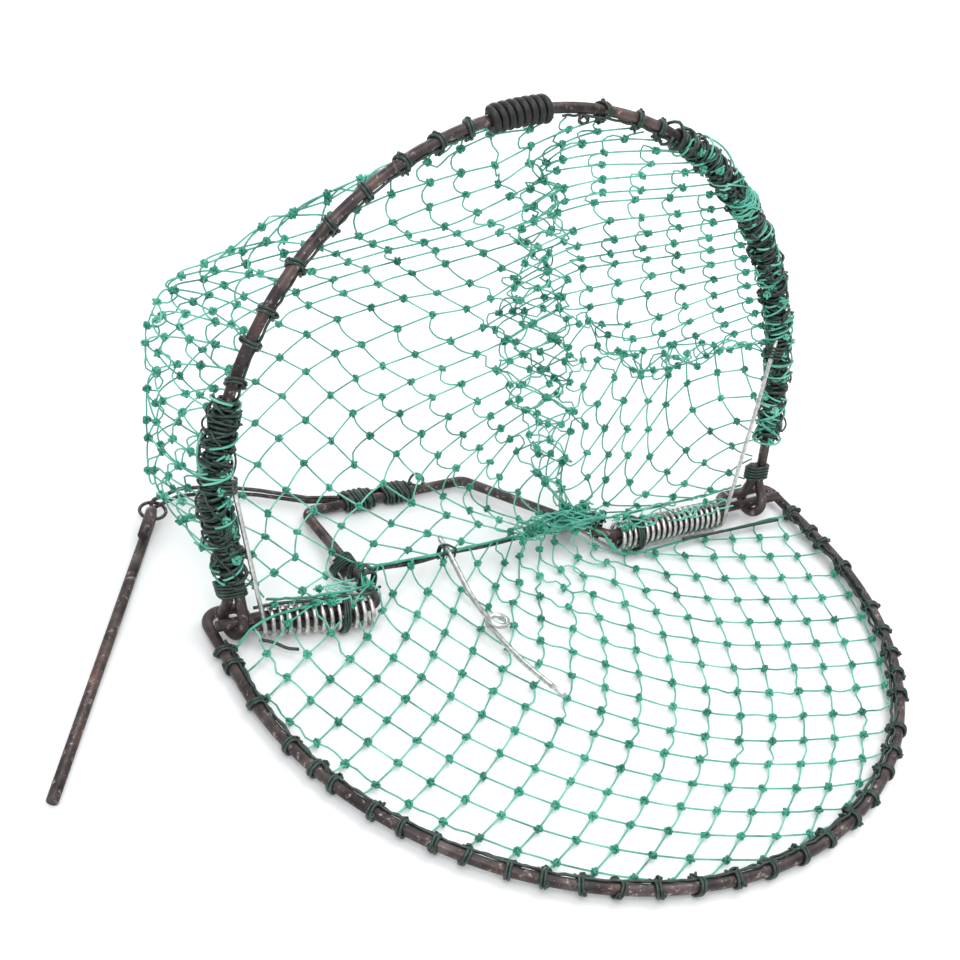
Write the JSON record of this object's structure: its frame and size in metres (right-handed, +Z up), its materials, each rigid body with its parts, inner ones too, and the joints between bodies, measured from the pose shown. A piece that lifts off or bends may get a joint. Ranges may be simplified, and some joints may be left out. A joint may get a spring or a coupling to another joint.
{
  "type": "spring-closed folding net trap",
  "caption": "Folding net trap: a netted wire hoop on a sprung hinge snaps shut over a flat net, held open by a lever and a wire trigger.",
  "frame": {"origin": "midway along the hinge axle, on the surface the trap stands on", "axes": "+X along the axle to the right, -Y to the front where the base hoop lies, +Z up"},
  "size_m": [0.3262, 0.2339, 0.1716],
  "materials": {
    "rusted_steel": "satin",
    "bright_wire": "satin",
    "dark_wire": "satin",
    "dark_cord": "matte",
    "black_sleeve": "matte",
    "green_net": "matte"
  },
  "bodies": {
    "base": {"base_hoop": "rusted_steel", "trigger_frame": "rusted_steel", "cross_wire": "dark_wire", "left_spring": "bright_wire", "right_spring": "bright_wire", "floor_net": "green_net", "base_lacing": "dark_cord", "edge_cord": "dark_cord", "cross_lashing_left": "dark_cord", "cross_lashing_right": "dark_cord", "spring_lashing_left": "dark_cord", "spring_lashing_right": "dark_cord", "tether_wire": "dark_wire", "tether_lashing": "dark_cord"},
    "hoop": {"moving_hoop": "rusted_steel", "grip_sleeve": "black_sleeve", "bag_net": "green_net", "hoop_lacing_left": "dark_cord", "hoop_lacing_right": "dark_cord", "side_wrap_left": "dark_cord", "side_wrap_right": "dark_cord", "shoulder_wrap_left": "dark_cord", "shoulder_wrap_right": "dark_cord", "eye_lashing_left": "dark_cord", "eye_lashing_right": "dark_cord", "leg_lashing_left": "dark_cord", "leg_lashing_right": "dark_cord"},
    "needle": {"trigger_needle": "bright_wire", "needle_lashing": "dark_cord"},
    "link": {"link_ring": "dark_wire"},
    "lever": {"lever_rod": "rusted_steel"}
  },
  "joints": [
    {"name": "hoop_hinge", "type": "hinge", "parent": "base", "child": "hoop", "pos_m": [0, 0, 0.00815], "axis": [-1, 0, 0], "range_deg": [-98.5, 65], "deforming": ["left_spring", "right_spring", "bag_net"]},
    {"name": "needle_tilt", "type": "hinge", "parent": "base", "child": "needle", "pos_m": [-0.0335, 0.007, 0.0105], "axis": [1, 0, 0], "range_deg": [-25, 3]},
    {"name": "ring_swing", "type": "hinge", "parent": "base", "child": "link", "pos_m": [-0.11938, 0.06864, 0.00475], "axis": [0, 0, 1], "range_deg": [-25, 0]},
    {"name": "lever_pitch", "type": "hinge", "parent": "link", "child": "lever", "pos_m": [-0.1245, 0.061, 0.00475], "axis": [-0.8309, 0.5565, 0], "range_deg": [0, 20]}
  ]
}
